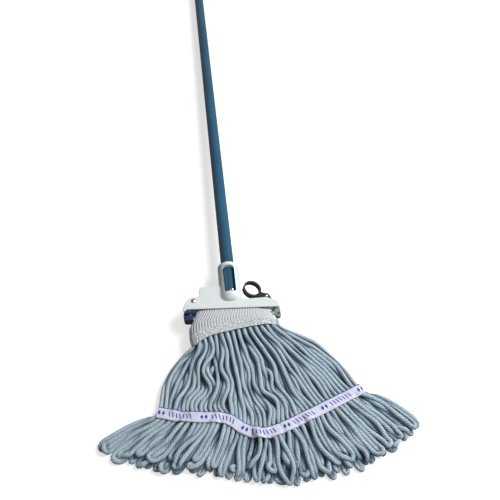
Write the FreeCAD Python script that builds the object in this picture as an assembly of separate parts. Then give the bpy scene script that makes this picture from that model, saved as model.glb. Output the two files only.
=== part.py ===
import FreeCAD, Part
import math
import os

# A looped-end string mop in a side-gate holder, lying flat on the floor, in millimetres.
# X runs along the holder's crossbar, Y along the handle towards its upper end, Z up.
# The origin is on the floor below the middle of the gate bar, under the handle's axis.

Vec = FreeCAD.Vector

# Driving dimensions
FRAME_BOTTOM = 18.0          # underside of the crossbar above the floor
FRAME_TOP = 40.0             # upper face of the crossbar
WALL = 2.6                   # moulded wall of the holder
LIP_Y = 7.0                  # lower edge of the crossbar at its right end
LEFT_LIP_Y = 15.3            # the lower edge slants up towards the left ear
EAR_TIP_Y = 10.0             # lower tip of the left ear
FRAME_LEFT = -90.0
FRAME_RIGHT = 88.0
LEFT_TOP_Y = 63.0            # upper edge of the raised plate left of the socket
RIGHT_TOP_Y = 29.5           # upper edge of the bar right of the socket
HANDLE_R = 12.7
HANDLE_WALL = 1.2
HANDLE_LENGTH = 1372.0
HANDLE_FOOT_Y = 38.0         # lower end of the tube inside the socket
SOCKET_R = 20.0
TOE_Y = 25.0                 # lower end of the socket
SOCKET_TOP_Y = 111.0
WINDOW = (42.0, 104.0)       # lower and upper end of the opening in the socket
TOE_R = 15.0                 # rounding of the socket's lower end
FILLET_R = 1.2
RIM_HEIGHT = 2.5
SOCKET_AXIS_Z = 31.0         # height of the handle's axis at the middle of the socket
CAP_R = 14.7
CAP_WALL = 2.0
CAP_GRIP = 32.0              # length of tube inside the cap
EYE_R = 13.0
EYE_HOLE_R = 5.0
EYE_THICKNESS = 9.0
EYE_REACH = 21.0             # from the cap's shoulder to the middle of the eye
SHOULDER = 13.0
SCREW = (3.0, 49.5)
SCREW_R = 1.9
SCREW_FACE_Z = 44.1          # where the screw's head lies on the tube
GATE_PIVOT = (-70.0, 32.5)
LATCH_PIVOT = (66.0, 34.0)
RING_CENTRE = (41.0, 53.0)
RING_OUTER_R = 17.5
RING_INNER_R = 14.5
RING_WIDTH = 10.0
RING_TILT_DEG = 16.0
BAR_R = 4.0
BAR_Z = 29.0
BAR_END_X = 80.0
CATCH_EYE = (84.0, -4.6)     # hole in the curled end of the gate's catch
CATCH_EYE_R = 2.8
GAP = 0.6                    # side play between the moving plates and the channel's walls
RUNNING = 0.06               # radial running clearance of the hinge pins
LOW_YARN_Z = 16.0            # thickness of the yarn lying beyond the tail band
HIGH_YARN_Z = 36.0           # thickness of the yarn where it leaves the headband

# Plan outlines of the soft head
HEADBAND_HEM = [(-75.0, -58.0), (-42.0, -39.0), (0.0, -30.0), (45.0, -25.0), (82.0, -26.0)]
TAIL_LINE = [(-141.0, -168.0), (-85.0, -184.0), (-30.0, -192.0), (0.0, -213.0),
             (30.0, -223.0), (62.0, -217.0), (98.0, -204.0), (208.0, -161.0)]
LOOP_HEM = [(-150.0, -166.0), (-244.0, -212.0), (-190.0, -245.0), (-109.0, -273.0),
            (-15.0, -297.0), (51.0, -309.0), (110.0, -304.0), (190.0, -291.0),
            (262.0, -261.0), (290.0, -232.0), (262.0, -206.0), (214.0, -159.0)]
SECTOR_CUTS = [(-20.0, -34.0, -50.0, -300.0), (30.0, -28.0, 110.0, -330.0)]
TAIL_BAND_WIDTH = 19.0
TAIL_BAND_THICKNESS = 1.4

MIDDLE_SOCKET_Y = (HANDLE_FOOT_Y + SOCKET_TOP_Y) / 2
CAP_END_Y = HANDLE_FOOT_Y + HANDLE_LENGTH + CAP_WALL
DROOP = math.atan((SOCKET_AXIS_Z - CAP_R) / (CAP_END_Y - MIDDLE_SOCKET_Y))
HANDLE_DIR = Vec(0, math.cos(DROOP), -math.sin(DROOP))


def axis_point(y):
    """The handle axis, which falls slightly so that the cap lies on the floor."""
    return Vec(0, y, SOCKET_AXIS_Z - (y - MIDDLE_SOCKET_Y) * math.tan(DROOP))


def along_handle(radius, y_start, y_end):
    length = (y_end - y_start) / math.cos(DROOP)
    return Part.makeCylinder(radius, length, axis_point(y_start), HANDLE_DIR)


def upright(centre, radius, z_low, z_high):
    return Part.makeCylinder(radius, z_high - z_low, Vec(centre[0], centre[1], z_low))


def block(x_low, x_high, y_low, y_high, z_low, z_high):
    return Part.makeBox(x_high - x_low, y_high - y_low, z_high - z_low, Vec(x_low, y_low, z_low))


def rounded_wire(points):
    """A closed outline in the XY plane; each point is (x, y) or (x, y, corner radius)."""
    corners = [(Vec(p[0], p[1], 0), p[2] if len(p) > 2 else 0.0) for p in points]
    count = len(corners)
    edges = []
    ends = []
    for i in range(count):
        here, radius = corners[i]
        to_last = (corners[i - 1][0] - here).normalize()
        to_next = (corners[(i + 1) % count][0] - here).normalize()
        if radius == 0.0:
            ends.append((here, here, None))
            continue
        half = to_last.getAngle(to_next) / 2
        reach = radius / math.tan(half)
        bisector = (to_last + to_next).normalize()
        middle = here + bisector * (radius / math.sin(half) - radius)
        ends.append((here + to_last * reach, here + to_next * reach, middle))
    for i in range(count):
        first, second, middle = ends[i]
        if middle is not None:
            edges.append(Part.Arc(first, middle, second).toShape())
        following = ends[(i + 1) % count][0]
        if second.distanceToPoint(following) > 1e-6:
            edges.append(Part.LineSegment(second, following).toShape())
    return Part.Wire(edges)


def plate(points, z_low, z_high):
    """A flat plate with the given outline."""
    face = Part.Face(rounded_wire(points))
    face.translate(Vec(0, 0, z_low))
    return face.extrude(Vec(0, 0, z_high - z_low))


def dome(centre, radius, z_face, height):
    """A round rivet head that stands up from z_face, or hangs down when height is negative."""
    ball_r = (radius ** 2 + height ** 2) / (2 * abs(height))
    middle_z = z_face + height - math.copysign(ball_r, height)
    ball = Part.makeSphere(ball_r, Vec(centre[0], centre[1], middle_z))
    low, high = sorted((z_face, z_face + height))
    return ball.common(upright(centre, radius + 1, low, high))


def fuse_all(shapes):
    return shapes[0].multiFuse(shapes[1:]).removeSplitter()


def save(name, shape):
    """One sub-part is one STEP file."""
    solids = shape.Solids
    assert solids and all(s.isValid() for s in solids), name
    result = solids[0] if len(solids) == 1 else Part.makeCompound(solids)
    result.exportStep("parts/" + name + ".step")
    print(name, len(solids), round(sum(s.Volume for s in solids)), [round(v, 1) for v in (
        result.BoundBox.XMin, result.BoundBox.XMax, result.BoundBox.YMin,
        result.BoundBox.YMax, result.BoundBox.ZMin, result.BoundBox.ZMax)])


def soften(shape, radius):
    """The plate with a small radius on the edges of its upper face."""
    edges = [e for e in shape.Edges if e.BoundBox.ZMin > FRAME_TOP - 0.01]
    return shape.makeFillet(radius, edges)


def socket_shell():
    """The handle's socket, whose rounded toe runs out on the crossbar."""
    barrel = along_handle(SOCKET_R, TOE_Y, SOCKET_TOP_Y)
    toe_edges = [e for e in barrel.Edges if e.BoundBox.YMax < TOE_Y + 2.0]
    rim = Part.makeCone(SOCKET_R, SOCKET_R - RIM_HEIGHT, RIM_HEIGHT, axis_point(SOCKET_TOP_Y),
                        HANDLE_DIR)
    return barrel.makeFillet(TOE_R, toe_edges).fuse(rim)


def mop_frame():
    """The white holder: a channel with a raised plate, two ears and the handle's socket."""
    outline = [(-83.0, LEFT_LIP_Y, 3), (FRAME_LEFT, EAR_TIP_Y, 2), (FRAME_LEFT, 18.0, 5),
               (-85.0, 31.0, 8),
               (-76.0, 41.5, 7), (-59.0, 41.5, 4), (-59.0, LEFT_TOP_Y, 7), (19.0, LEFT_TOP_Y),
               (19.0, RIGHT_TOP_Y, 6), (66.0, RIGHT_TOP_Y, 10),
               (85.0, 20.0, 8), (FRAME_RIGHT, LIP_Y, 2)]
    body = soften(plate(outline, FRAME_BOTTOM, FRAME_TOP), FILLET_R)
    lug = upright(LATCH_PIVOT, 8.0, FRAME_BOTTOM, FRAME_BOTTOM + WALL)
    moulding = fuse_all([body, socket_shell(), lug])

    inner_low = FRAME_BOTTOM + WALL
    inner_high = FRAME_TOP - WALL
    channel = block(FRAME_LEFT - 1, FRAME_RIGHT + 1, LIP_Y - 1, RIGHT_TOP_Y - WALL,
                    inner_low, inner_high)
    gate_bay = block(FRAME_LEFT - 1, -59.0, LIP_Y - 1, 46.0, inner_low, inner_high)
    latch_bay = block(56.0, FRAME_RIGHT + 1, LIP_Y - 1, 40.0, inner_low, inner_high)
    pockets = [block(-56.4, -41.0, RIGHT_TOP_Y, LEFT_TOP_Y - WALL, FRAME_BOTTOM - 3, inner_high),
               block(-38.4, -23.0, RIGHT_TOP_Y, LEFT_TOP_Y - WALL, FRAME_BOTTOM - 3, inner_high)]
    collar = along_handle(HANDLE_R + 0.05, HANDLE_FOOT_Y - 3, SOCKET_TOP_Y + 4)
    relief = along_handle(HANDLE_R + 2.0, WINDOW[0], WINDOW[1])
    window = plate([(-10.5, WINDOW[0], 4), (10.5, WINDOW[0], 4), (11.0, WINDOW[1], 7),
                    (-11.0, WINDOW[1], 7)], SOCKET_AXIS_Z, 70.0)
    screw_hole = upright(SCREW, SCREW_R + 0.4, 5.0, SOCKET_AXIS_Z)
    rivet_hole = upright(GATE_PIVOT, 3.0, 0, 60)
    pin_hole = upright(LATCH_PIVOT, 2.5, 0, 60)
    return moulding.cut([channel, gate_bay, latch_bay, collar, relief, window, screw_hole,
                         rivet_hole, pin_hole] + pockets)


def handle_tube():
    y_end = HANDLE_FOOT_Y + HANDLE_LENGTH
    outer = along_handle(HANDLE_R, HANDLE_FOOT_Y, y_end)
    inner = along_handle(HANDLE_R - HANDLE_WALL, HANDLE_FOOT_Y - 1, y_end + 1)
    screw_hole = upright(SCREW, SCREW_R, 0, 60)
    return outer.cut([inner, screw_hole])


def handle_foot_plug():
    """The plastic plug that the screw bites into."""
    plug_r = HANDLE_R - HANDLE_WALL
    plug = along_handle(plug_r, HANDLE_FOOT_Y + 1, HANDLE_FOOT_Y + 34)
    hollow = along_handle(plug_r - 3.5, HANDLE_FOOT_Y + 24, HANDLE_FOOT_Y + 35)
    return plug.cut([hollow, upright(SCREW, SCREW_R, 0, 60)])


def handle_screw():
    shank = upright(SCREW, SCREW_R - 0.05, 24.0, SCREW_FACE_Z + 0.8)
    head = dome(SCREW, 3.4, SCREW_FACE_Z, 2.0)
    slot = block(SCREW[0] - 0.4, SCREW[0] + 0.4, SCREW[1] - 4, SCREW[1] + 4,
                 SCREW_FACE_Z + 1.2, SCREW_FACE_Z + 2.2)
    return shank.fuse(head).cut(slot).removeSplitter()


def top_cap():
    """The cap on the handle's upper end, with a flat hanging eye."""
    tube_end = HANDLE_FOOT_Y + HANDLE_LENGTH
    shell = along_handle(CAP_R, tube_end - CAP_GRIP, CAP_END_Y)
    neck_start = axis_point(CAP_END_Y)
    shoulder = Part.makeCone(CAP_R, EYE_THICKNESS * 0.75, SHOULDER, neck_start, HANDLE_DIR)
    eye_centre = axis_point(CAP_END_Y + EYE_REACH)
    eye = Part.makeCylinder(EYE_R, EYE_THICKNESS,
                            eye_centre - Vec(EYE_THICKNESS / 2, 0, 0), Vec(1, 0, 0))
    hole = Part.makeCylinder(EYE_HOLE_R, 60, eye_centre - Vec(30, 0, 0), Vec(1, 0, 0))
    socket = along_handle(HANDLE_R, tube_end - CAP_GRIP - 1, tube_end)
    return fuse_all([shell, shoulder, eye]).cut([socket, hole])


def gate_pivot_rivet():
    shank = upright(GATE_PIVOT, 3.0, FRAME_BOTTOM, FRAME_TOP)
    top = dome(GATE_PIVOT, 5.0, FRAME_TOP, 2.6)
    bottom = dome(GATE_PIVOT, 5.0, FRAME_BOTTOM, -2.6)
    return fuse_all([shank, top, bottom])


def gate_washers():
    low = FRAME_BOTTOM + WALL
    high = FRAME_TOP - WALL
    rings = [upright(GATE_PIVOT, 7.0, z, z + 0.4) for z in (low, high - 0.4)]
    return Part.makeCompound([r.cut(upright(GATE_PIVOT, 3.0, 0, 60)) for r in rings])


ARM_LOW = FRAME_BOTTOM + WALL + GAP + 0.2
ARM_HIGH = FRAME_TOP - WALL - GAP - 0.2
BEND_R = 8.0
BEND_X = -70.0
RISER_X = BEND_X - BEND_R
GATE_RIVETS = [(RISER_X, 14.0), (RISER_X, 21.0)]


def bar_solid(radius):
    """The rod: straight through the headband, then bent up into the gate's arm."""
    straight = Part.LineSegment(Vec(BAR_END_X, 0, BAR_Z), Vec(BEND_X, 0, BAR_Z)).toShape()
    turn = math.sqrt(0.5) * BEND_R
    bend = Part.Arc(Vec(BEND_X, 0, BAR_Z), Vec(BEND_X - turn, BEND_R - turn, BAR_Z),
                    Vec(RISER_X, BEND_R, BAR_Z)).toShape()
    riser = Part.LineSegment(Vec(RISER_X, BEND_R, BAR_Z), Vec(RISER_X, 25.0, BAR_Z)).toShape()
    section = Part.Wire(Part.makeCircle(radius, Vec(BAR_END_X, 0, BAR_Z), Vec(-1, 0, 0)))
    return Part.Wire([straight, bend, riser]).makePipeShell([section], True, False)


def gate_bar():
    holes = [upright(place, 1.6, 0, 60) for place in GATE_RIVETS]
    return bar_solid(BAR_R).cut(holes)


def gate_arm():
    """The navy elbow: an eye on the hinge and a stout block round the rod's bend."""
    arm = plate([(-77.5, 34.0), (-62.5, 34.0), (-63.5, 12.0, 6), (-72.5, 5.0, 2),
                 (-72.5, -6.5, 3), (-88.0, -6.5, 5), (-90.0, 5.0, 4), (-86.0, 18.0, 6)],
                ARM_LOW, ARM_HIGH)
    eye = upright(GATE_PIVOT, 8.2, ARM_LOW, ARM_HIGH)
    notch = block(-92.0, -60.0, 3.0, 8.5, BAR_Z + 1.5, ARM_HIGH + 1)
    holes = [upright(place, 1.6, 0, 60) for place in GATE_RIVETS]
    return fuse_all([arm, eye]).cut([notch, upright(GATE_PIVOT, 4.6, 0, 60),
                                     bar_solid(BAR_R)] + holes)


def gate_bush():
    outer = upright(GATE_PIVOT, 4.6, ARM_LOW, ARM_HIGH)
    return outer.cut(upright(GATE_PIVOT, 3.0 + RUNNING, 0, 60))


def gate_rivets():
    pins = []
    for place in GATE_RIVETS:
        shank = upright(place, 1.6, ARM_LOW, ARM_HIGH)
        pins.append(shank)
    return Part.makeCompound(pins)


def gate_catch():
    """The steel end of the gate, whose finger stands up into the right ear."""
    hook = plate([(77.5, -4.5, 1), (79.5, -10.4, 3.5), (88.6, -10.4, 4), (88.2, 4.0, 3),
                  (86.5, 21.0, 2.5), (80.3, 21.0, 2), (80.3, 4.5, 1), (77.5, 4.5, 1)],
                 BAR_Z - 5.0, BAR_Z + 5.0)
    return hook.cut([bar_solid(BAR_R), upright(CATCH_EYE, CATCH_EYE_R, 0, 60)])


def latch_pin():
    shank = upright(LATCH_PIVOT, 2.5, FRAME_BOTTOM, ARM_HIGH + 0.4)
    head = dome(LATCH_PIVOT, 3.6, ARM_HIGH + 0.3, 2.4)
    foot = dome(LATCH_PIVOT, 3.6, FRAME_BOTTOM, -1.5)
    return fuse_all([shank, head, foot])


LEVER_LOW = 25.6


def latch_spring_washer():
    """The conical steel washer that keeps the lever's hub firm against the pin's head."""
    low = FRAME_BOTTOM + WALL
    height = LEVER_LOW - 0.3 - low
    base = Vec(LATCH_PIVOT[0], LATCH_PIVOT[1], low)
    outer = Part.makeCone(6.0, 4.0, height, base)
    return outer.cut(Part.makeCone(5.2, 3.2, height, base))


HOOK_RIVET = (73.0, 22.5)
HOOK_LOW = 29.5
HOOK_HIGH = 32.5


def latch_lever():
    """The black lever: a hub on its pin, a thumb ring, and a short tail that holds the nose."""
    hub = upright(LATCH_PIVOT, 6.6, LEVER_LOW, ARM_HIGH)
    arm = plate([(46.0, 36.5, 1.5), (57.0, 31.5, 3), (68.0, 28.0, 2), (72.0, 35.0, 4),
                 (65.0, 40.5, 5), (57.0, 44.0, 3), (52.0, 49.0, 1)], LEVER_LOW + 2.5, ARM_HIGH)
    tail = fuse_all([upright(HOOK_RIVET, 4.2, LEVER_LOW, ARM_HIGH),
                     plate([(60.5, 31.0), (69.0, 20.5), (77.0, 24.0), (72.0, 36.0)],
                           LEVER_LOW, ARM_HIGH)])
    tilt = math.radians(RING_TILT_DEG)
    normal = Vec(math.sin(tilt), 0, math.cos(tilt))
    centre = Vec(RING_CENTRE[0], RING_CENTRE[1], ARM_HIGH - RING_WIDTH / 2 + 1.5)
    base = centre - normal * (RING_WIDTH / 2)
    disc = Part.makeCylinder(RING_OUTER_R, RING_WIDTH, base, normal)
    hole = Part.makeCylinder(RING_INNER_R, RING_WIDTH + 20, base - normal * 10, normal)
    slot = block(60.0, 84.0, 12.0, 27.2, HOOK_LOW, HOOK_HIGH)
    return fuse_all([hub, arm, tail, disc]).cut(
        [hole, slot, upright(LATCH_PIVOT, 2.5 + RUNNING, 0, 60), upright(HOOK_RIVET, 1.5, 0, 60)])


def latch_hook():
    """The steel nose that bears on the gate's catch."""
    nose = plate([(67.5, 21.0, 2), (73.0, 16.0, 2), (80.0, 15.6, 1), (80.0, 19.6, 1),
                  (76.0, 22.0, 2), (74.0, 27.2), (68.5, 27.2)], HOOK_LOW, HOOK_HIGH)
    return nose.cut(upright(HOOK_RIVET, 1.5, 0, 60))


def latch_hook_rivet():
    shank = upright(HOOK_RIVET, 1.5, LEVER_LOW, ARM_HIGH)
    head = dome(HOOK_RIVET, 2.4, LEVER_LOW, -0.8)
    return fuse_all([shank, head])


def across(profile):
    """A solid with the given (y, z) profile, wide enough for the whole head."""
    points = [Vec(-300, y, z) for y, z in profile]
    face = Part.Face(Part.makePolygon(points + points[:1]))
    return face.extrude(Vec(620, 0, 0))


def headband():
    """The knit band folded over the bar, closed in the channel's mouth and lying on the floor."""
    plan = plate([(-60.0, 16.5, 2), (-65.5, 7.5, 2), (-66.5, -3.0, 4), (-72.0, -10.0, 4),
                  (-80.5, -18.0, 8), (-82.0, -42.0, 12)] + HEADBAND_HEM +
                 [(76.0, -6.0, 8), (72.5, 10.5, 2), (56.0, 10.8), (46.0, 15.0, 2)], 0, 60)
    side = across([(17.0, BAR_Z - 6.5), (17.0, BAR_Z + 6.5), (-2.0, BAR_Z + 7.0),
                   (-16.0, BAR_Z + 9.0), (-70.0, 33.0), (-70.0, 0.0), (2.0, 0.0),
                   (5.0, BAR_Z - 7.0)])
    ear_room = upright(GATE_PIVOT, 32.6, -1.0, BAR_Z - 7.0)
    return plan.common(side).cut([bar_solid(BAR_R), ear_room])


def soft_profile():
    return across([(20.0, 0), (20.0, HIGH_YARN_Z), (-17.0, HIGH_YARN_Z),
                   (-190.0, LOW_YARN_Z), (-340.0, LOW_YARN_Z), (-340.0, 0)])


def sector(index):
    """One of three upright wedges that split the head from left to right."""
    far = 400.0
    edges = []
    for near_x, near_y, far_x, far_y in SECTOR_CUTS:
        slope = (far_x - near_x) / (far_y - near_y)
        edges.append([(near_x + (y - near_y) * slope, y) for y in (far, -far)])
    left_side = [(-far, far), (-far, -far)]
    right_side = [(far, far), (far, -far)]
    sides = [left_side] + edges + [right_side]
    first, second = sides[index], sides[index + 1]
    return plate([first[1], second[1], second[0], first[0]], -1, 100)


def tail_strip(z_low, z_high):
    """The ribbon's strip along the tail line."""
    half = TAIL_BAND_WIDTH / 2
    curve = Part.BSplineCurve()
    curve.interpolate([Vec(x, y, 0) for x, y in TAIL_LINE])
    lower = curve.toShape()
    lower.translate(Vec(0, -half, z_low))
    upper = curve.toShape()
    upper.translate(Vec(0, half, z_low))
    return Part.makeRuledSurface(lower, upper).extrude(Vec(0, 0, z_high - z_low))


def tail_divider():
    """Everything on the handle's side of the tail line."""
    curve = Part.BSplineCurve()
    curve.interpolate([Vec(x, y, 0) for x, y in TAIL_LINE])
    far = 400.0
    first = Vec(TAIL_LINE[0][0], TAIL_LINE[0][1], 0)
    last = Vec(TAIL_LINE[-1][0], TAIL_LINE[-1][1], 0)
    corners = [last, Vec(far, last.y, 0), Vec(far, far, 0), Vec(-far, far, 0),
               Vec(-far, first.y, 0), first]
    edges = [Part.LineSegment(a, b).toShape() for a, b in zip(corners, corners[1:])]
    return Part.Face(Part.Wire([curve.toShape()] + edges)).extrude(Vec(0, 0, 100))


def yarn_solids():
    """The skirt's upper part and its loops, each split into three sectors."""
    above_tail = tail_divider()
    upper_plan = plate(HEADBAND_HEM + [(114.0, -42.0, 30), (156.0, -76.0, 40),
                                       (192.0, -122.0, 40), (208.0, -161.0), (150.0, -330.0),
                                       (-90.0, -330.0), (-141.0, -168.0), (-122.0, -110.0, 60),
                                       (-86.0, -58.0, 8)], 0, 60)
    hem = Part.BSplineCurve()
    hem.interpolate([Vec(x, y, 0) for x, y in LOOP_HEM])
    closing = Part.LineSegment(Vec(*LOOP_HEM[-1], 0), Vec(*LOOP_HEM[0], 0)).toShape()
    loop_plan = Part.Face(Part.Wire([hem.toShape(), closing])).extrude(Vec(0, 0, 60))
    ribbons = [tail_strip(0, TAIL_BAND_THICKNESS), tail_strip(LOW_YARN_Z, LOW_YARN_Z + 30)]
    profile = soft_profile()
    upper = upper_plan.common(above_tail).common(profile).cut(ribbons)
    loops = loop_plan.cut(above_tail).common(profile).cut(ribbons)
    return upper, loops


def build():
    os.makedirs("parts", exist_ok=True)
    for maker in (mop_frame, handle_tube, handle_foot_plug, handle_screw, top_cap,
                  gate_pivot_rivet, gate_washers, latch_pin, latch_spring_washer, gate_arm,
                  gate_bush, gate_bar, gate_catch, gate_rivets, latch_lever, latch_hook,
                  latch_hook_rivet, headband):
        save(maker.__name__, maker())
    upper, loops = yarn_solids()
    for index, side in enumerate(("left", "middle", "right")):
        wedge = sector(index)
        save("yarn_upper_" + side, upper.common(wedge))
        save("yarn_loops_" + side, loops.common(wedge))
    save("tail_band_front", tail_strip(LOW_YARN_Z, LOW_YARN_Z + TAIL_BAND_THICKNESS))
    save("tail_band_back", tail_strip(0, TAIL_BAND_THICKNESS))


build()
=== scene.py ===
import math

import bpy
import numpy as np
from mathutils import Euler, Matrix, Vector


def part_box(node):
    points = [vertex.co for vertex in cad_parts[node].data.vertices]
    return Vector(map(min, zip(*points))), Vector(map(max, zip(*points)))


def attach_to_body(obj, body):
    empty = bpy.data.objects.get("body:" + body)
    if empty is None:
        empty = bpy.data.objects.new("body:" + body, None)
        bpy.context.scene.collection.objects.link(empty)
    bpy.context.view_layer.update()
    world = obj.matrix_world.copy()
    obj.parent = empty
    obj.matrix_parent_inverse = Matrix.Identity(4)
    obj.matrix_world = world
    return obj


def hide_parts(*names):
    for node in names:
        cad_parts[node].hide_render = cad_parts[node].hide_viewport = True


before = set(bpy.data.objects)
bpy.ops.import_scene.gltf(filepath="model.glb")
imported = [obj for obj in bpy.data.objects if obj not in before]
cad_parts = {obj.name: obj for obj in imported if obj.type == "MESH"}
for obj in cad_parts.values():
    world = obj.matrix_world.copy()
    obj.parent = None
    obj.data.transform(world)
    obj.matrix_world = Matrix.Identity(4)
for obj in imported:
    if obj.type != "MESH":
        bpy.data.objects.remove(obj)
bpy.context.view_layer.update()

# Driving sizes, in metres. The outlines follow the CAD model's to within about a centimetre.
YARN_D = 0.0070
YARN_STEP = 0.0045           # spacing of the points that the yarn is laid out with
FRONT_LOOPS = 23
BACK_LOOPS = 24
SHORT_LOOPS = 17
HEM = [(-0.075, -0.058), (-0.042, -0.0425), (0.0, -0.0345), (0.045, -0.0285), (0.082, -0.027)]
TAIL = [(-0.141, -0.168), (-0.085, -0.184), (-0.030, -0.192), (0.0, -0.213), (0.030, -0.223),
        (0.062, -0.217), (0.098, -0.204), (0.208, -0.161)]
TIPS = [(-0.252, -0.205), (-0.190, -0.240), (-0.109, -0.270), (-0.015, -0.297),
        (0.051, -0.311), (0.110, -0.310), (0.190, -0.294), (0.264, -0.260), (0.296, -0.231)]
TAIL_BAND_WIDTH = 0.019
# The headband's upper edge, under the crossbar's lip and clear of the latch
BAND_TOP = [(-0.064, 0.0168), (0.044, 0.0145), (0.055, 0.0100), (0.0715, 0.0096)]
BAR_Z = sum(c[2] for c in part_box("gate_bar")) / 2


# ---------------------------------------------------------------- helpers

def curve_points(points, count):
    """Evenly spaced points on a smooth line through the given ones."""
    p = np.array(points, float)
    ext = np.vstack([2 * p[0] - p[1], p, 2 * p[-1] - p[-2]])
    t = np.linspace(0, 1, 24, endpoint=False)[:, None]
    parts = []
    for a, b, c, d in zip(ext, ext[1:], ext[2:], ext[3:]):
        parts.append(0.5 * (2 * b + (c - a) * t + (2 * a - 5 * b + 4 * c - d) * t ** 2
                            + (3 * b - a - 3 * c + d) * t ** 3))
    dense = np.vstack(parts + [p[-1:]])
    return resample(dense, count)


def resample(line, count):
    """The line again with count points at equal steps along it."""
    steps = np.linalg.norm(np.diff(line, axis=0), axis=1)
    run = np.concatenate([[0], np.cumsum(steps)])
    at = np.linspace(0, run[-1], count)
    return np.stack([np.interp(at, run, line[:, k]) for k in range(line.shape[1])], axis=1)


def at_share(line, share):
    """Points on an evenly spaced line, at shares of its length from 0 to 1."""
    grid = np.linspace(0, 1, len(line))
    return np.stack([np.interp(share, grid, line[:, k]) for k in range(line.shape[1])], axis=-1)


def new_mesh(name, verts, faces, mat):
    """A smooth-shaded mesh object with one material."""
    mesh = bpy.data.meshes.new(name)
    mesh.from_pydata([tuple(v) for v in verts], [], faces)
    mesh.materials.append(mat)
    mesh.shade_smooth()
    obj = bpy.data.objects.new(name, mesh)
    bpy.context.collection.objects.link(obj)
    return obj


def grid_faces(rows, columns, closed=False):
    """Quads of a rows x columns grid of vertices, joined round each row if closed."""
    r = np.arange(rows - 1)[:, None]
    c = np.arange(columns if closed else columns - 1)[None, :]
    n = (c + 1) % columns
    a, b = r * columns + c, r * columns + n
    return np.stack([a, b, b + columns, a + columns], axis=-1).reshape(-1, 4)


def attach(obj, name, values):
    """Stores one vector for each vertex, for the materials to read."""
    layer = obj.data.attributes.new(name, "FLOAT_VECTOR", "POINT")
    layer.data.foreach_set("vector", np.asarray(values, np.float32).ravel())


# ---------------------------------------------------------------- materials

def material(name, roughness, metallic=0.0, specular=0.5, coat=0.0, coat_roughness=0.1,
             sheen=0.0, sheen_roughness=0.5):
    """A new node material and its shader."""
    mat = bpy.data.materials.new(name)
    mat.use_nodes = True
    shader = mat.node_tree.nodes["Principled BSDF"]
    shader.inputs["Roughness"].default_value = roughness
    shader.inputs["Metallic"].default_value = metallic
    shader.inputs["Specular IOR Level"].default_value = specular
    shader.inputs["Coat Weight"].default_value = coat
    shader.inputs["Coat Roughness"].default_value = coat_roughness
    shader.inputs["Sheen Weight"].default_value = sheen
    shader.inputs["Sheen Roughness"].default_value = sheen_roughness
    return mat, shader


class Nodes:
    """Short calls for the nodes that the materials use."""

    def __init__(self, mat):
        self.tree = mat.node_tree

    def add(self, kind, **values):
        node = self.tree.nodes.new(kind)
        for key, value in values.items():
            setattr(node, key, value)
        return node

    def link(self, a, b):
        self.tree.links.new(a, b)

    def place(self, scale, attribute=None):
        """Coordinates in metres, or a mesh attribute, times scale."""
        if attribute:
            source = self.add("ShaderNodeAttribute", attribute_name=attribute).outputs["Vector"]
        else:
            source = self.add("ShaderNodeTexCoord").outputs["Object"]
        mapping = self.add("ShaderNodeMapping")
        mapping.inputs["Scale"].default_value = scale
        self.link(source, mapping.inputs["Vector"])
        return mapping.outputs["Vector"]

    def noise(self, vector, detail=3.0, roughness=0.5):
        node = self.add("ShaderNodeTexNoise")
        node.inputs["Scale"].default_value = 1.0
        node.inputs["Detail"].default_value = detail
        node.inputs["Roughness"].default_value = roughness
        self.link(vector, node.inputs["Vector"])
        return node.outputs["Fac"]

    def ramp(self, value, *stops):
        node = self.add("ShaderNodeValToRGB")
        ramp = node.color_ramp
        while len(ramp.elements) < len(stops):
            ramp.elements.new(0.5)
        for element, (place, colour) in zip(ramp.elements, stops):
            element.position = place
            element.color = (*colour, 1) if len(colour) == 3 else colour
        self.link(value, node.inputs["Fac"])
        return node.outputs["Color"]

    def grey(self, value, low, high, at=(0.3, 0.7)):
        return self.ramp(value, (at[0], (low,) * 3), (at[1], (high,) * 3))

    def mix(self, factor, a, b, blend="MIX"):
        node = self.add("ShaderNodeMix", data_type="RGBA", blend_type=blend)
        for socket, value in ((node.inputs[0], factor), (node.inputs[6], a), (node.inputs[7], b)):
            if hasattr(value, "is_linked"):
                self.link(value, socket)
            elif isinstance(value, tuple):
                socket.default_value = (*value, 1)
            else:
                socket.default_value = value
        return node.outputs[2]

    def maths(self, operation, a, b=0.0):
        node = self.add("ShaderNodeMath", operation=operation)
        for socket, value in zip(node.inputs, (a, b)):
            if hasattr(value, "is_linked"):
                self.link(value, socket)
            else:
                socket.default_value = value
        return node.outputs[0]

    def bump(self, shader, height, strength, distance):
        node = self.add("ShaderNodeBump")
        node.inputs["Strength"].default_value = strength
        node.inputs["Distance"].default_value = distance
        self.link(height, node.inputs["Height"])
        self.link(node.outputs["Normal"], shader.inputs["Normal"])


def moulded_plastic(name, base, shade, roughness):
    """Injection-moulded plastic: fine surface grain, slow mottling and faint scuffs."""
    mat, shader = material(name, roughness)
    n = Nodes(mat)
    mottle = n.noise(n.place((40, 40, 40)), 4)
    scuff = n.noise(n.place((900, 160, 500)), 6, 0.7)
    colour = n.ramp(mottle, (0.3, shade), (0.65, base))
    marks = n.ramp(scuff, (0.66, (1, 1, 1)), (0.74, (0.9, 0.9, 0.89)))
    n.link(n.mix(1.0, colour, marks, "MULTIPLY"), shader.inputs["Base Color"])
    n.link(n.grey(scuff, roughness, roughness + 0.18, (0.55, 0.75)), shader.inputs["Roughness"])
    n.bump(shader, n.noise(n.place((2500, 2500, 2500)), 2), 0.15, 0.0002)
    return mat


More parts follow.
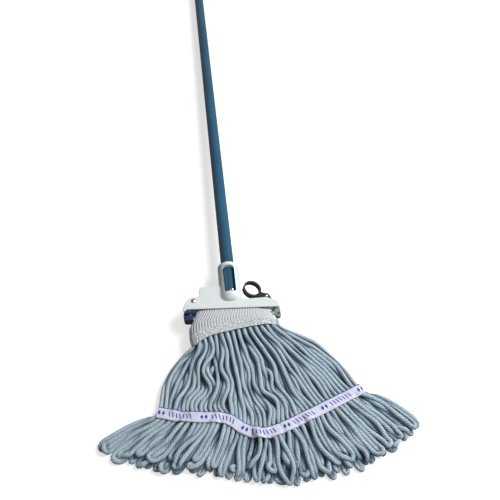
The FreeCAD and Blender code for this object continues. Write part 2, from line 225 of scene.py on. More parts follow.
def painted_tube(name):
    """Glossy blue paint with slight orange peel, fine length-wise scratches and wear."""
    mat, shader = material(name, 0.34, specular=0.4, coat=0.25, coat_roughness=0.2)
    n = Nodes(mat)
    mottle = n.noise(n.place((30, 6, 30)), 4)
    scratch = n.noise(n.place((1400, 12, 1400)), 5, 0.7)
    colour = n.ramp(mottle, (0.3, (0.013, 0.066, 0.120)), (0.7, (0.020, 0.092, 0.160)))
    marks = n.ramp(scratch, (0.62, (1, 1, 1)), (0.76, (1.35, 1.3, 1.25)))
    n.link(n.mix(1.0, colour, marks, "MULTIPLY"), shader.inputs["Base Color"])
    n.link(n.grey(scratch, 0.24, 0.45, (0.5, 0.8)), shader.inputs["Roughness"])
    n.bump(shader, n.noise(n.place((900, 900, 900)), 2), 0.05, 0.0003)
    return mat


def plated_steel(name, tint):
    """Zinc-plated steel with fine brushing and small dull spots."""
    mat, shader = material(name, 0.3, metallic=1.0)
    n = Nodes(mat)
    brushed = n.noise(n.place((400, 4000, 400)), 4, 0.6)
    spots = n.noise(n.place((300, 300, 300)), 5)
    dark = tuple(0.88 * c for c in tint)
    n.link(n.ramp(spots, (0.3, dark), (0.6, tint)), shader.inputs["Base Color"])
    n.link(n.grey(brushed, 0.22, 0.42), shader.inputs["Roughness"])
    n.bump(shader, brushed, 0.05, 0.0001)
    return mat


def yarn_material(name, light, dark):
    """Plied yarn: fibres that run with the plies, painted shade between them and deep in the
    pile, each strand its own tint.

    The attribute "lay" holds distance round the yarn, distance along it and a number per strand.
    The attribute "ply" holds 1 on a ply's crest to 0 between plies, where shade is painted, and 1
    on the pile's outside, falling inside it for painted shade.
    """
    mat, shader = material(name, 0.95, specular=0.12, sheen=0.35, sheen_roughness=0.6)
    n = Nodes(mat)
    fibres = n.noise(n.place((2600, 300, 3.0), "lay"), 4, 0.65)
    tint = n.noise(n.place((0, 9, 41.7), "lay"), 2)
    mottle = n.noise(n.place((420, 420, 420)), 3, 0.6)
    split = n.add("ShaderNodeSeparateXYZ")
    n.link(n.add("ShaderNodeAttribute", attribute_name="ply").outputs["Vector"],
           split.inputs["Vector"])
    tone = n.ramp(tint, (0.3, tuple(0.80 * c for c in light)), (0.7, light))
    tone = n.mix(1.0, tone, n.grey(fibres, 0.66, 1.16, (0.25, 0.75)), "MULTIPLY")
    tone = n.mix(1.0, tone, n.grey(mottle, 0.74, 1.14, (0.35, 0.65)), "MULTIPLY")
    # Painted shade: the grooves between plies are darkened towards the dark colour.
    groove_shade = n.ramp(split.outputs["X"], (0.0, (0.40,) * 3), (0.75, (1, 1, 1)))
    tone = n.mix(groove_shade, dark, tone)
    # Painted shade: points deep inside the pile, from above or below, are darkened towards near
    # black.
    depth_shade = n.ramp(split.outputs["Y"], (0.0, (0.05, 0.09, 0.125)), (0.5, (0.46, 0.55, 0.62)),
                   (0.85, (1, 1, 1)))
    n.link(n.mix(1.0, tone, depth_shade, "MULTIPLY"), shader.inputs["Base Color"])
    fuzz = n.noise(n.place((1300, 1300, 1300)), 5, 0.7)
    n.bump(shader, n.mix(0.6, fibres, fuzz), 1.0, 0.0018)
    return mat


def knit_material(name):
    """White ribbed knit: rows of small stitches on each rib, with painted shade between the ribs.

    The attribute "rib" holds 1 on a rib's crest, falling between ribs where shade is painted,
    distance from the top and 1 at the fuzzy hem.
    """
    mat, shader = material(name, 0.95, specular=0.1, sheen=0.3, sheen_roughness=0.6)
    n = Nodes(mat)
    split = n.add("ShaderNodeSeparateXYZ")
    n.link(n.add("ShaderNodeAttribute", attribute_name="rib").outputs["Vector"],
           split.inputs["Vector"])
    ribs, rows = split.outputs["X"], split.outputs["Y"]
    stitch = n.maths("SINE", n.maths("MULTIPLY", rows, 2 * math.pi / 0.0016))
    fluff = n.noise(n.place((1800, 1800, 1800)), 5, 0.7)
    # Painted shade: grey between the ribs, lighter on their crests.
    base = n.ramp(ribs, (0.0, (0.27, 0.275, 0.30)), (0.4, (0.43, 0.45, 0.475)),
                  (0.8, (0.49, 0.52, 0.545)))
    flecks = n.noise(n.place((420, 420, 420)), 3, 0.7)
    tufts = n.ramp(flecks, (0.38, (0.24, 0.265, 0.275)), (0.50, (0.42, 0.45, 0.46)),
                   (0.60, (0.72, 0.74, 0.75)))
    base = n.mix(split.outputs["Z"], base, tufts)
    n.link(n.mix(1.0, base, n.grey(fluff, 0.84, 1.06), "MULTIPLY"), shader.inputs["Base Color"])
    height = n.maths("ADD", n.maths("MULTIPLY", stitch, 0.35), fluff)
    n.bump(shader, height, 0.6, 0.0006)
    return mat


PATTERN_LENGTH = 0.072       # the ribbon's print repeats
DIAMOND_PITCH = 0.0072
DASH_PITCH = 0.0060
EDGE_LINE = 0.0014


def ribbon_material(name):
    """Woven white tape with generic diamonds, slanted dashes and an edge line in dark blue.

    The attribute "tape" holds distance along the tape and distance from its middle.
    """
    mat, shader = material(name, 0.8, specular=0.2, sheen=0.25)
    n = Nodes(mat)
    split = n.add("ShaderNodeSeparateXYZ")
    n.link(n.add("ShaderNodeAttribute", attribute_name="tape").outputs["Vector"],
           split.inputs["Vector"])
    along, across = split.outputs["X"], split.outputs["Y"]
    place = n.maths("FRACT", n.maths("DIVIDE", along, PATTERN_LENGTH))
    off = n.maths("ABSOLUTE", across)
    beat = n.maths("FRACT", n.maths("DIVIDE", along, DIAMOND_PITCH))
    swing = n.maths("ABSOLUTE", n.maths("SUBTRACT", beat, 0.5))
    diamond = n.maths("ADD", n.maths("MULTIPLY", swing, 0.0130), off)
    diamond = n.maths("LESS_THAN", diamond, 0.0046)
    diamond = n.maths("MULTIPLY", diamond, n.maths("LESS_THAN", place, 0.2))
    slanted = n.maths("ADD", along, n.maths("MULTIPLY", across, 0.35))
    lean = n.maths("FRACT", n.maths("DIVIDE", slanted, DASH_PITCH))
    bar = n.maths("LESS_THAN", n.maths("ABSOLUTE", n.maths("SUBTRACT", lean, 0.5)), 0.17)
    bar = n.maths("MULTIPLY", bar, n.maths("LESS_THAN", off, 0.0040))
    bar = n.maths("MULTIPLY", bar, n.maths("GREATER_THAN", place, 0.25))
    bar = n.maths("MULTIPLY", bar, n.maths("LESS_THAN", place, 0.84))
    edge = n.maths("GREATER_THAN", across, TAIL_BAND_WIDTH / 2 - EDGE_LINE)
    mark = n.maths("MAXIMUM", edge, n.maths("MAXIMUM", diamond, bar))
    weave = n.maths("MULTIPLY", n.maths("SINE", n.maths("MULTIPLY", along, 2 * math.pi / 0.0006)),
                    n.maths("SINE", n.maths("MULTIPLY", across, 2 * math.pi / 0.0007)))
    soil = n.noise(n.place((160, 160, 160)), 4)
    base = n.ramp(soil, (0.3, (0.46, 0.48, 0.60)), (0.7, (0.56, 0.575, 0.69)))
    n.link(n.mix(mark, base, (0.030, 0.035, 0.24)), shader.inputs["Base Color"])
    n.bump(shader, weave, 0.25, 0.0002)
    return mat


WHITE = moulded_plastic("white_plastic", (0.60, 0.635, 0.635), (0.55, 0.59, 0.59), 0.38)
NAVY = moulded_plastic("navy_plastic", (0.014, 0.035, 0.085), (0.010, 0.024, 0.060), 0.42)
BLACK = moulded_plastic("black_plastic", (0.014, 0.022, 0.025), (0.009, 0.014, 0.016), 0.40)
GREY = moulded_plastic("grey_plastic", (0.20, 0.21, 0.22), (0.15, 0.16, 0.17), 0.5)
BLUE = painted_tube("blue_paint")
STEEL = plated_steel("steel", (0.62, 0.63, 0.64))
YARN = yarn_material("yarn", (0.53, 0.675, 0.77), (0.035, 0.075, 0.115))
KNIT = knit_material("knit")
RIBBON = ribbon_material("ribbon")

CAD_LOOKS = {
    "mop_frame": WHITE, "handle_tube": BLUE, "handle_foot_plug": GREY, "handle_screw": STEEL,
    "top_cap": NAVY, "gate_pivot_rivet": STEEL, "gate_washers": STEEL, "latch_pin": STEEL,
    "latch_spring_washer": STEEL, "gate_arm": NAVY, "gate_bush": STEEL, "gate_bar": STEEL,
    "gate_catch": STEEL, "gate_rivets": STEEL, "latch_lever": BLACK, "latch_hook": STEEL,
    "latch_hook_rivet": STEEL,
}


def dress_cad():
    for node, mat in CAD_LOOKS.items():
        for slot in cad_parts[node].material_slots:
            slot.material = mat


# ---------------------------------------------------------------- laying out the yarn

HEM_LINE = curve_points(HEM, 200)
TAIL_LINE = curve_points(TAIL, 400)
TIP_LINE = curve_points(TIPS, 400)
ROW_Z_FRONT = (0.0320, 0.0205, 0.0265)    # heights of the strands at the headband's hem
ROW_Z_BACK = (0.0045, 0.0150, 0.0098)
MIDDLE_Z = 0.018
BACK_TAIL_Z = YARN_D * 0.6   # heights of the layers at the tail band
FRONT_TAIL_Z = YARN_D * 2.1
SHORT_TAIL_Z = YARN_D * 1.35
UNDER_BAND = 0.008           # how far the short loops start above the tail line
INSIDE = 0.014               # how far a strand reaches up inside the headband
BUNCHES = 9                  # bunches of loops along the fringe


def smooth_field(rng, rows, columns):
    """A smooth random surface over the unit square, about -1 to 1."""
    knots = rng.uniform(-1, 1, (rows + 2, columns + 2))

    def value(u, v):
        a, b = np.clip(u, 0, 1) * rows, np.clip(v, 0, 1) * columns
        i, j = a.astype(int), b.astype(int)
        f, g = a - i, b - j
        f, g = f * f * (3 - 2 * f), g * g * (3 - 2 * g)
        return ((knots[i, j] * (1 - f) + knots[i + 1, j] * f) * (1 - g)
                + (knots[i, j + 1] * (1 - f) + knots[i + 1, j + 1] * f) * g)
    return value


def leg(start, end, z_start, z_end, sway, hump):
    """One strand from the headband to the tail band, as a smooth line."""
    s = np.linspace(0, 1, len(sway))
    way = end - start
    side = np.array([-way[1], way[0]]) / np.linalg.norm(way)
    flat = start + way * s[:, None] + side * sway[:, None]
    z = z_start + (z_end - z_start) * s ** 0.9 + hump * np.sin(math.pi * s) ** 2
    line = np.hstack([flat, z[:, None]])
    inner = line[0] + np.array([0, INSIDE, (BAR_Z - z_start) * 0.25])
    return np.vstack([inner, line])


def loop_end(first, second, tip, z, width, lift, bend):
    """The looped end between two neighbouring strands: out to the tip and back."""
    root = (first + second) / 2
    out = tip - root
    reach = np.linalg.norm(out)
    out = out / reach
    side = np.array([-out[1], out[0]])
    if np.dot(first - second, side) < 0:
        side = -side
    straight = reach - width / 2
    s = np.linspace(0, 1, 26)[1:-1, None]
    drift = side * bend * np.sin(math.pi * s * 0.85)
    legs = []
    for origin, sign in ((first, 1), (second, -1)):
        goal = root + out * straight + side * sign * width / 2
        legs.append(origin + (goal - origin) * s + drift)
    turn = np.linspace(0, math.pi, 12)[:, None]
    centre = root + out * straight + side * bend * math.sin(math.pi * 0.85)
    cap = centre + side * (width / 2) * np.cos(turn) + out * (width / 2) * np.sin(turn)
    path = np.vstack([legs[0], cap, legs[1][::-1]])
    share = np.linspace(0, 1, len(path))[:, None]
    height = z + lift * np.sin(math.pi * share) ** 2
    return np.hstack([path, height])


def plan_layer(rng, loops, rows, z_tail, reach_back, lift):
    """The first paths of one layer's yarns, before they settle: down, round a loop and up."""
    count = 2 * loops
    u = (np.arange(count) + 0.5) / count
    s = np.linspace(0, 1, 60)
    crowd = smooth_field(rng, 12, 1)(u, np.zeros(count))
    u_tail = np.sort(np.clip(u + 0.0035 * crowd, 0.008, 0.992))
    bulge = np.interp(u, [0, 0.12, 0.35, 0.6, 0.85, 1],
                      [0.003, -0.001, 0, 0.004, 0.011, 0.013])
    clump = smooth_field(rng, 10, 5)
    clump_size = np.interp(u, [0, 0.1, 0.3, 0.6, 0.8, 1],
                           [0.004, 0.012, 0.018, 0.017, 0.009, 0.005])
    envelope = np.sin(math.pi * s) ** 0.7
    feet, legs = [], []
    for j in range(count):
        own = smooth_field(rng, 1, 5)(np.zeros(60), s)
        waves = clump_size[j] * clump(np.full(60, u[j]), s) + 0.0045 * own
        sway = bulge[j] * np.sin(math.pi * s) + envelope * waves
        start, end = at_share(HEM_LINE, u[j]), at_share(TAIL_LINE, u_tail[j])
        room = math.sqrt(1 - abs(2 * u[j] - 1) ** 8)
        z0 = MIDDLE_Z + (rows[j % len(rows)] - MIDDLE_Z) * room
        hump = np.interp(u[j], [0, 0.3, 0.7, 1], [0.004, 0.008, 0.005, 0.002])
        legs.append(leg(start, end, z0, z_tail, sway, hump * rng.uniform(0, 1.6)))
        feet.append(end)
    ends = plan_fringe(rng, feet, z_tail, reach_back, lift)
    return [np.vstack([legs[2 * k], end, legs[2 * k + 1][::-1]]) for k, end in enumerate(ends)]


def plan_fringe(rng, feet, z, reach_back, lift, low=0.0):
    """The looped ends below the tail band, one for each two feet, bunched along the tips.

    The first tip lies at the share low of the line of tips.
    """
    loops = len(feet) // 2
    beat = rng.uniform(0, 2 * math.pi)
    ends = []
    for k in range(loops):
        v = low + (1 - low) * (k + 0.5) / loops
        v += 0.010 * math.sin(2 * math.pi * BUNCHES * v + beat) * math.sin(math.pi * v)
        v = np.clip(v + rng.uniform(-0.25, 0.25) / loops, 0, 1)
        tip = at_share(TIP_LINE, v)
        first, second = feet[2 * k], feet[2 * k + 1]
        root = (first + second) / 2
        short = rng.uniform(*reach_back) * (0.1 if k < 2 or k == loops - 1 else 1)
        tip = tip + (root - tip) / np.linalg.norm(root - tip) * short
        curl = np.interp(v, [0, 0.2, 0.45, 0.7, 1], [0.001, 0.007, 0.014, 0.013, 0.002])
        bow = np.interp(v, [0, 0.1, 0.25], [-0.018, -0.012, 0])
        ends.append(loop_end(first, second, tip, z, YARN_D * rng.uniform(1.0, 1.18),
                             lift * rng.uniform(0.2, 1.6), bow + curl * rng.uniform(-1, 1)))
    return ends


def plan_short(rng, loops, z, reach_back, lift):
    """Extra loops sewn under the tail band, which fill the fringe."""
    share = np.linspace(0.16, 0.98, 2 * loops)
    feet = [at_share(TAIL_LINE, s) for s in share]
    paths = []
    for k, end in enumerate(plan_fringe(rng, feet, z, reach_back, lift, 0.1)):
        first = np.array([*feet[2 * k], z]) + (0, UNDER_BAND, 0)
        second = np.array([*feet[2 * k + 1], z]) + (0, UNDER_BAND, 0)
        paths.append(np.vstack([first, end, second]))
    return paths


SETTLE_STEPS = 220
FALL = (0, 0, -4.0e-5)       # gravity's move in one step
LATE_FALL = 0.3              # share of it in the last quarter of the steps
DAMPING = 0.88
LONGEST_MOVE = 0.0008
STIFFNESS = 0.12             # how much a strand straightens in each sweep
SWEEPS = 2
HELD_POINTS = 4              # points at each end that stay put
TURN_POINTS = 5              # points each side of a loop's end that don't straighten
BAND_REACH = 0.0045          # the tail band holds points this near to its line
FLOOR_GAP = 0.0004
NEARBY = YARN_D * 1.35       # points this near to each other are watched
WATCH_STEPS = 4              # steps between two searches for them
PUSH = 1.3                   # over-relaxation of their pushes


def settle(paths):
    """Position-based dynamics: inextensible strands with thickness, under gravity, on a floor.

    Strand ends are held where they start, in the headband or under the tail band. Each strand is
    also held, level with the floor, where the tail band crosses it.
    Gives every point, strand by strand, and the number of points of each strand.
    """
    counts, points, strand = [], [], []
    for i, line in enumerate(paths):
        length = np.linalg.norm(np.diff(line, axis=0), axis=1).sum()
        count = int(round(length / YARN_STEP)) + 1
        points.append(resample(line, count))
        strand.append(np.full(count, i))
        counts.append(count)
    x = np.vstack(points)
    strand = np.concatenate(strand)
    order = np.concatenate([np.arange(c) for c in counts])
    last = np.concatenate([np.full(c, c - 1) for c in counts])
    pairs1 = np.nonzero(strand[:-1] == strand[1:])[0]
    rest1 = np.linalg.norm(x[pairs1 + 1] - x[pairs1], axis=1)
    pairs2 = np.nonzero(strand[:-2] == strand[2:])[0]
    bends = pairs2[np.abs(order[pairs2] + 1 - last[pairs2] / 2) > TURN_POINTS]
    held = (order < HELD_POINTS) | (order > last - HELD_POINTS)
    tail_gap = np.abs(np.interp(x[:, 0], TAIL_LINE[:, 0], TAIL_LINE[:, 1]) - x[:, 1])
    crossing = (tail_gap < BAND_REACH) & ~held
    anchor = x.copy()
    old = x.copy()
    fall = np.array(FALL)
    for step in range(SETTLE_STEPS):
        late = step > SETTLE_STEPS * 0.75
        moved = np.clip((x - old) * DAMPING, -LONGEST_MOVE, LONGEST_MOVE)
        old = x.copy()
        x = x + moved + (fall * LATE_FALL if late else fall)
        if step % WATCH_STEPS == 0:
            a, b = close_pairs(x, strand, order, NEARBY)
        for _ in range(SWEEPS):
            for parity in (0, 1):
                chosen = order[pairs1] % 2 == parity
                i = pairs1[chosen]
                pull(x, i, i + 1, rest1[chosen])
            for group in (0, 1):
                i = bends[(order[bends] // 2) % 2 == group]
                straighten(x, i)
            push_apart(x, a, b, YARN_D)
            x[:, 2] = np.maximum(x[:, 2], YARN_D / 2 + FLOOR_GAP)
            x[held] = anchor[held]
            x[crossing, :2] = anchor[crossing, :2]
    return x, counts


def pull(x, i, j, rest):
    """Brings each two points back to their rest distance."""
    d = x[j] - x[i]
    length = np.linalg.norm(d, axis=1)
    change = (0.5 * (length - rest) / np.maximum(length, 1e-9))[:, None] * d
    x[i] += change
    x[j] -= change


def straighten(x, i):
    """Moves each middle point towards the line between its neighbours."""
    middle = (x[i] + x[i + 2]) / 2
    change = (middle - x[i + 1]) * STIFFNESS
    x[i + 1] += change
    x[i] -= change / 2
    x[i + 2] -= change / 2


def push_apart(x, a, b, distance):
    """Moves each two points that are too near to each other apart."""
    d = x[a] - x[b]
    length = np.linalg.norm(d, axis=1)
    near = length < distance
    a, b, d, length = a[near], b[near], d[near], np.maximum(length[near], 1e-9)
    change = (0.5 * (distance - length) / length)[:, None] * d
    total = np.zeros_like(x)
    for k in range(3):
        total[:, k] = (np.bincount(a, change[:, k], len(x))
                       - np.bincount(b, change[:, k], len(x)))
    hits = np.bincount(a, minlength=len(x)) + np.bincount(b, minlength=len(x))
    x += total / np.maximum(hits, 1)[:, None] * PUSH


def close_pairs(x, strand, order, distance):
    """Pairs of points nearer than distance that aren't neighbours on one strand."""
    cell = np.floor((x - x.min(0)) / distance).astype(np.int64) + 1
    size = cell.max(0) + 2
    key = (cell[:, 0] * size[1] + cell[:, 1]) * size[2] + cell[:, 2]
    rank = np.argsort(key, kind="stable")
    sorted_key = key[rank]
    first, second = [], []
    for dx in (0, 1):
        for dy in (-1, 0, 1):
            for dz in (-1, 0, 1):
                if (dx, dy, dz) < (0, 0, 0):
                    continue
                target = key + (dx * size[1] + dy) * size[2] + dz
                low = np.searchsorted(sorted_key, target, "left")
                high = np.searchsorted(sorted_key, target, "right")
                n = high - low
                a = np.repeat(np.arange(len(x)), n)
                shift = np.arange(n.sum()) - np.repeat(np.cumsum(n) - n, n)
                b = rank[np.repeat(low, n) + shift]
                keep = (a < b) if (dx, dy, dz) == (0, 0, 0) else np.ones(len(a), bool)
                first.append(a[keep])
                second.append(b[keep])
    a, b = np.concatenate(first), np.concatenate(second)
    along = (strand[a] == strand[b]) & (np.abs(order[a] - order[b]) < 3)
    near = np.linalg.norm(x[a] - x[b], axis=1) < distance
    keep = near & ~along
    return a[keep], b[keep]


# ---------------------------------------------------------------- yarn meshes

RING = 20                    # points round a yarn
RING_STEP = 0.0021
PLIES = 5
TWIST = 0.022                # length of one full turn of the plies
PLY_DEPTH = 0.18             # depth of the grooves between plies, as a share of the radius
UNEVEN = 0.07                # how much a yarn's thickness varies
FRINGE_SWELL = 0.12          # the loops are fluffier than the sewn stretch
SWELL_START = 0.012          # distance below the tail line where that begins
SWELL_RUN = 0.03


def yarn_tube(line, radius, phase, strand_number):
    """Vertices, quads and material attributes of one plied yarn."""
    steps = np.linalg.norm(np.diff(line, axis=0), axis=1)
    length = steps.sum()
    rings = int(length / RING_STEP) + 1
    smooth = smooth_line(line, rings)
    tangent = np.gradient(smooth, axis=0)
    tangent /= np.linalg.norm(tangent, axis=1)[:, None]
    side = np.cross(tangent, (0, 0, 1.0))
    side /= np.maximum(np.linalg.norm(side, axis=1), 1e-6)[:, None]
    lift = np.cross(side, tangent)
    along = np.linspace(0, length, rings)
    turn = np.arange(RING) * 2 * math.pi / RING
    ply = np.abs(np.cos(turn * PLIES / 2))
    swell = smooth_field(np.random.default_rng(strand_number), 1, max(4, int(length / 0.012)))
    swell = 1 + UNEVEN * swell(np.zeros(rings), along / length)
    tail_y = np.interp(smooth[:, 0], TAIL_LINE[:, 0], TAIL_LINE[:, 1])
    swell *= 1 + FRINGE_SWELL * np.clip((tail_y - SWELL_START - smooth[:, 1]) / SWELL_RUN, 0, 1)
    reach = radius * ((1 - PLY_DEPTH) + PLY_DEPTH * ply) * swell[:, None]
    angle = turn[None, :] + (2 * math.pi * along / TWIST + phase)[:, None]
    verts = (smooth[:, None, :]
             + (np.cos(angle) * reach)[:, :, None] * side[:, None, :]
             + (np.sin(angle) * reach)[:, :, None] * lift[:, None, :])
    lay = np.stack([np.broadcast_to(turn * radius, angle.shape),
                    np.broadcast_to(along[:, None], angle.shape),
                    np.full(angle.shape, strand_number)], axis=-1)
    groove_shade = np.stack([np.broadcast_to(ply, angle.shape)] * 3, axis=-1)
    faces = grid_faces(rings, RING, True)
    return verts.reshape(-1, 3), faces, lay.reshape(-1, 3), groove_shade.reshape(-1, 3)


def smooth_line(line, count):
    """A finer line through the settled points, without their small kinks."""
    soft = line.copy()
    for _ in range(2):
        soft[1:-1] = 0.25 * soft[:-2] + 0.5 * soft[1:-1] + 0.25 * soft[2:]
    ext = np.vstack([2 * soft[0] - soft[1], soft, 2 * soft[-1] - soft[-2]])
    t = np.linspace(0, 1, 4, endpoint=False)[:, None]
    a, b, c, d = (ext[k:len(ext) - 3 + k][:, None, :] for k in range(4))
    dense = 0.5 * (2 * b + (c - a) * t + (2 * a - 5 * b + 4 * c - d) * t ** 2
                   + (3 * b - a - 3 * c + d) * t ** 3)
    return resample(np.vstack([dense.reshape(-1, 3), soft[-1:]]), count)


class Pile:
    """The upper and lower surface of the whole pile of yarn, on a grid, for painted shade deep
    inside the pile.
    """
    CELL = 0.0022

    def __init__(self, points):
        self.low = points[:, :2].min(0) - 4 * self.CELL
        self.size = ((points[:, :2].max(0) - self.low) / self.CELL).astype(int) + 6
        i, j = self.cells(points)
        self.top = np.full(self.size, -1.0)
        self.under = np.full(self.size, 1.0)
        np.maximum.at(self.top, (i, j), points[:, 2])
        np.minimum.at(self.under, (i, j), points[:, 2])
        for _ in range(2):
            self.top = self.spread(self.top, np.maximum)
            self.under = self.spread(self.under, np.minimum)

    def cells(self, points):
        index = ((points[:, :2] - self.low) / self.CELL).astype(int)
        return index[:, 0], index[:, 1]

    @staticmethod
    def spread(grid, pick):
        for axis in (0, 1):
            grid = pick(pick(np.roll(grid, 1, axis), np.roll(grid, -1, axis)), grid)
        return grid

    def depth_shade(self, points):
        """Painted shade: 1 on the pile's outside, falling to 0 a yarn's thickness inside it."""
        i, j = self.cells(points)
        depth = np.minimum(self.top[i, j] - points[:, 2], points[:, 2] - self.under[i, j])
        return 1 - np.clip(depth / YARN_D - 0.25, 0, 1)


def yarn_piece(name, tubes, pile):
    """One mesh of several yarns, which swings with the gate."""
    verts, faces, lays, grooves = [], [], [], []
    total = 0
    for v, f, lay, groove_shade in tubes:
        verts.append(v)
        faces.append(f + total)
        lays.append(lay)
        grooves.append(groove_shade)
        total += len(v)
    verts, grooves = np.vstack(verts), np.vstack(grooves)
    # The middle column holds the painted shade deep in the pile.
    grooves[:, 1] = pile.depth_shade(verts)
    obj = new_mesh(name, verts, np.vstack(faces).tolist(), YARN)
    attach(obj, "lay", np.vstack(lays))
    attach(obj, "ply", grooves)
    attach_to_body(obj, "gate")
    return obj


def make_yarn():
    """All the yarns, as their centre lines and as pieces."""
    rng = np.random.default_rng(11)
    back = plan_layer(rng, BACK_LOOPS, ROW_Z_BACK, BACK_TAIL_Z, (0.0, 0.010), 0.002)
    front = plan_layer(rng, FRONT_LOOPS, ROW_Z_FRONT, FRONT_TAIL_Z, (0.002, 0.026), 0.009)
    short = plan_short(rng, SHORT_LOOPS, SHORT_TAIL_Z, (0.002, 0.018), 0.003)
    x, counts = settle(back + front + short)
    ends = np.cumsum(counts)
    lines = [x[e - c:e] for e, c in zip(ends, counts)]
    tubes = []
    for i, line in enumerate(lines):
        tubes.append(yarn_tube(line, YARN_D * rng.uniform(0.49, 0.55), rng.uniform(0, 6.28), i))
    pile = Pile(np.vstack([t[0] for t in tubes]))
    pieces = []
    groups = (("back", 0, BACK_LOOPS), ("front", BACK_LOOPS, BACK_LOOPS + FRONT_LOOPS))
    for side, low, high in groups:
        cuts = np.linspace(low, high, 5).astype(int)
        for part, (a, b) in enumerate(zip(cuts, cuts[1:])):
            pieces.append(yarn_piece(f"yarn_{side}_{part + 1}", tubes[a:b], pile))
    pieces.append(yarn_piece("yarn_short", tubes[BACK_LOOPS + FRONT_LOOPS:], pile))
    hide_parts("yarn_upper_left", "yarn_upper_middle", "yarn_upper_right",
                "yarn_loops_left", "yarn_loops_middle", "yarn_loops_right")
    return lines, pieces


# ---------------------------------------------------------------- headband

RIB_PITCH = 0.0052
RIB_HEIGHT = 0.0011
RIB_POINTS = 10
BAND_LEFT = ((0.0, 0.16, 0.30, 0.48, 0.75, 1.0),
             (-0.0640, -0.0675, -0.0735, -0.0800, -0.0805, -0.0760))
BAND_RIGHT = ((0.0, 0.4, 1.0), (0.0715, 0.0745, 0.0815))


def section(t):
    """The band's cross-section, a rounded slab, from -1 to 1 each way."""
    x = np.cos(t)
    z = np.sign(np.sin(t)) * (1 - np.abs(x) ** 5.5) ** 0.33
    return x, z


def even_angles(count):
    """Angles that space points evenly round the section, and the way round in metres."""
    t = np.linspace(0, 2 * math.pi, 8001)
    x, z = section(t)
    steps = np.hypot(np.diff(0.078 * x), np.diff(0.018 * z))
    run = np.concatenate([[0], np.cumsum(steps)])
    return np.interp(np.arange(count) / count * run[-1], run, t), run[-1]


def make_headband():
    """The knit tube over the gate bar: folded over the bar and open at its gathered hem."""
    ribs = round(even_angles(8)[1] / RIB_PITCH)
    columns, rows = ribs * RIB_POINTS, 90
    a, _ = even_angles(columns)
    cx, cz = (v[None, :] for v in section(a))
    s = np.linspace(0, 1, rows)[:, None]
    left, right = np.interp(s, *BAND_LEFT), np.interp(s, *BAND_RIGHT)
    x = (left + right) / 2 + (right - left) / 2 * cx
    hem_y = np.interp(x, HEM_LINE[:, 0], HEM_LINE[:, 1])
    top_y = np.interp(x, *zip(*BAND_TOP))
    y = top_y + (hem_y - top_y) * s
    down = top_y - y
    swell = np.clip(down / 0.025, 0, 1)
    swell = swell * swell * (3 - 2 * swell)
    fold = np.sqrt(np.clip(1 - (1 - np.clip(down / 0.006, 0, 1)) ** 2, 0.0004, 1))
    gather = np.clip((s - 0.58) / 0.20, 0, 1)
    half = 0.0066 * fold + 0.0116 * swell + 0.0010 * np.sin(math.pi * gather)
    middle = BAR_Z - (BAR_Z - 0.0196) * swell
    points = np.stack([x, y, middle + half * cz], axis=-1)
    normal = surface_normals(points)
    turn = np.arange(columns) / RIB_POINTS
    rib = np.abs(np.cos(math.pi * turn))[None, :] * np.ones((rows, 1))
    rng = np.random.default_rng(5)
    tufts = rng.uniform(-1, 1, (rows, columns))
    for axis in (0, 1, 1):
        tufts = (np.roll(tufts, 1, axis) + tufts + np.roll(tufts, -1, axis)) / 3
    rough = 0.00012 + 0.0016 * gather
    fade = np.interp(x, (-0.060, 0.070), (1.15, 0.45))
    wander = 0.3 * smooth_field(rng, 40, 6)(turn[None, :] / ribs * np.ones((rows, 1)),
                                            s * np.ones((1, columns)))
    relief = RIB_HEIGHT * rib * fade * (1 - 0.75 * gather) * np.clip(fold, 0.3, 1)
    rise = relief * (1 + wander) + rough * tufts
    points = points + normal * rise[..., None]
    obj = new_mesh("headband_knit", points.reshape(-1, 3),
                   grid_faces(rows, columns, True).tolist(), KNIT)
    gathered = gather * np.ones((1, columns))
    # The first column sets the painted shade between the ribs, weaker to the right with the ribs'
    # relief.
    attach(obj, "rib", np.stack([1 - (1 - rib) * fade, down, gathered], axis=-1).reshape(-1, 3))
    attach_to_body(obj, "gate")
    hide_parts("headband")
    return obj


def surface_normals(points):
    """Outward normals of a closed ring grid."""
    across = np.roll(points, -1, axis=1) - np.roll(points, 1, axis=1)
    along = np.gradient(points, axis=0)
    n = np.cross(across, along)
    n /= np.maximum(np.linalg.norm(n, axis=2), 1e-9)[..., None]
    centre = points.mean(axis=1, keepdims=True)
    if (n * (points - centre)).sum() < 0:
        n = -n
    return n


# ---------------------------------------------------------------- tail bands

TAPE_THICKNESS = 0.0007
TAPE_COLUMNS, TAPE_ROWS = 260, 9
OVER_YARN = 0.0004           # the front tape's height over the strands
BACK_TAPE_Z = 0.0012         # the back tape's upper face above the floor
COVER_REACH = 0.0060         # the tape rests on points this near to it


def make_tail_band(name, node, lines, top):
    """A tape sewn across the strands, which follows their heights."""
    columns, count = TAPE_COLUMNS, TAPE_ROWS
    middle = resample(TAIL_LINE, columns)
    tangent = np.gradient(middle, axis=0)
    tangent /= np.linalg.norm(tangent, axis=1)[:, None]
    side = np.stack([-tangent[:, 1], tangent[:, 0]], axis=1)
    cloud = np.vstack(lines)
    across = np.linspace(-1, 1, count)
    rows = []
    for a in across:
        flat = middle + side * a * TAIL_BAND_WIDTH / 2
        rows.append(np.hstack([flat, cover_height(flat, cloud, top)[:, None]]))
    points = np.array(rows)
    points[..., 2] = smooth_rows(points[..., 2], 2)
    points[..., 2] += OVER_YARN if top else 0.0
    run = np.concatenate([[0], np.cumsum(np.linalg.norm(np.diff(middle, axis=0), axis=1))])
    obj = new_mesh(name, points.reshape(-1, 3), grid_faces(count, columns).tolist(), RIBBON)
    tape = np.stack([np.broadcast_to(run, (count, columns)),
                     np.broadcast_to(across[:, None] * TAIL_BAND_WIDTH / 2, (count, columns)),
                     np.zeros((count, columns))], axis=-1)
    attach(obj, "tape", tape.reshape(-1, 3))
    shell = obj.modifiers.new("thickness", "SOLIDIFY")
    shell.thickness = TAPE_THICKNESS
    shell.offset = 1.0 if top else -1.0
    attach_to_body(obj, "gate")
    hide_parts(node)
    return obj


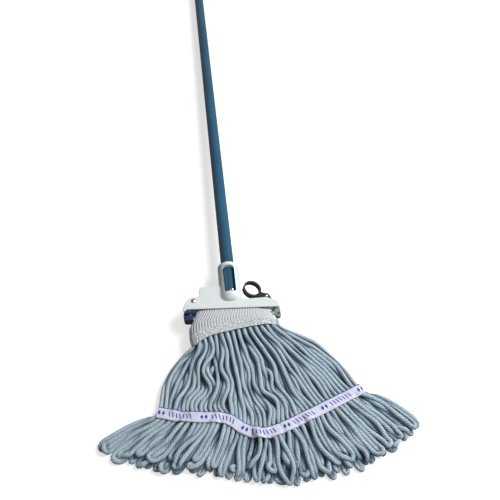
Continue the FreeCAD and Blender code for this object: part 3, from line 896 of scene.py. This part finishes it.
def cover_height(flat, cloud, top):
    """Height of the upper (or lower) envelope of the yarn over the given places."""
    if not top:
        return np.full(len(flat), BACK_TAPE_Z)
    near = np.linalg.norm(cloud[None, :, :2] - flat[:, None, :], axis=2)
    z = np.where(near < COVER_REACH, cloud[None, :, 2], 0)
    return z.max(axis=1) + YARN_D / 2


def smooth_rows(z, passes):
    """The heights without small steps along the tape, and level at its ends."""
    for _ in range(passes):
        z = (np.roll(z, 1, axis=1) + 2 * z + np.roll(z, -1, axis=1)) / 4
    z[:, :2] = z[:, 2:3]
    z[:, -2:] = z[:, -3:-2]
    return z


# ---------------------------------------------------------------- scene

FLOOR_SIZE = 12.0
FLOOR_Z = -0.0004            # just under the object


def make_stage():
    """A pale floor that throws no light up at the object."""
    size = FLOOR_SIZE
    floor = new_mesh("floor", [(-size, -size, 0), (size, -size, 0), (size, size, 0),
                               (-size, size, 0)], [(0, 1, 2, 3)], FLOOR)
    floor.location.z = FLOOR_Z
    floor.visible_diffuse = False
    floor.visible_glossy = False


def light(name, place, target, size, power, colour=(1, 1, 1)):
    data = bpy.data.lights.new(name, "AREA")
    data.shape = "DISK"
    data.size = size
    data.energy = power
    data.color = colour
    obj = bpy.data.objects.new(name, data)
    obj.location = place
    obj.rotation_euler = (Vector(target) - Vector(place)).to_track_quat("-Z", "Y").to_euler()
    bpy.context.collection.objects.link(obj)


def make_lights():
    target = (0.05, -0.1, 0)
    light("key", (1.6, 0.35, 1.7), target, 1.5, 84)
    light("fill", (0.1, -2.0, 1.7), target, 2.0, 13, (0.96, 0.98, 1.0))
    world = bpy.data.worlds.new("studio")
    world.use_nodes = True
    world.node_tree.nodes["Background"].inputs["Color"].default_value = (1.0, 1.0, 1.0, 1)
    world.node_tree.nodes["Background"].inputs["Strength"].default_value = 0.20
    bpy.context.scene.world = world
    bpy.context.scene.view_settings.view_transform = "Standard"


CAMERA_PLACE = (-0.0545, -0.6072, 0.9571)
CAMERA_DOWN, CAMERA_RIGHT, CAMERA_ROLL = 50.4, 7.71, 2.0    # degrees


def make_camera():
    data = bpy.data.cameras.new("camera")
    data.lens = 43.2
    data.sensor_width = 36.0
    camera = bpy.data.objects.new("camera", data)
    camera.location = CAMERA_PLACE
    aim = Euler((math.radians(90 - CAMERA_DOWN), 0, math.radians(-CAMERA_RIGHT))).to_matrix()
    roll = Matrix.Rotation(math.radians(CAMERA_ROLL), 3, "Z")
    camera.rotation_euler = (aim @ roll).to_euler()
    bpy.context.collection.objects.link(camera)
    bpy.context.scene.camera = camera


def floor_material():
    mat, shader = material("pale_floor", 0.9, specular=0.1)
    n = Nodes(mat)
    soft = n.noise(n.place((3, 3, 3)), 2)
    n.link(n.ramp(soft, (0.3, (0.58, 0.58, 0.58)), (0.7, (0.60, 0.60, 0.60))),
           shader.inputs["Base Color"])
    shader.inputs["Emission Color"].default_value = (1, 1, 1, 1)
    shader.inputs["Emission Strength"].default_value = 0.6
    return mat


FLOOR = floor_material()
make_camera()
make_stage()
make_lights()
dress_cad()
yarn_lines, yarn_pieces = make_yarn()
headband = make_headband()
front_band = make_tail_band("tail_band_front_tape", "tail_band_front", yarn_lines, True)
back_band = make_tail_band("tail_band_back_tape", "tail_band_back", yarn_lines, False)
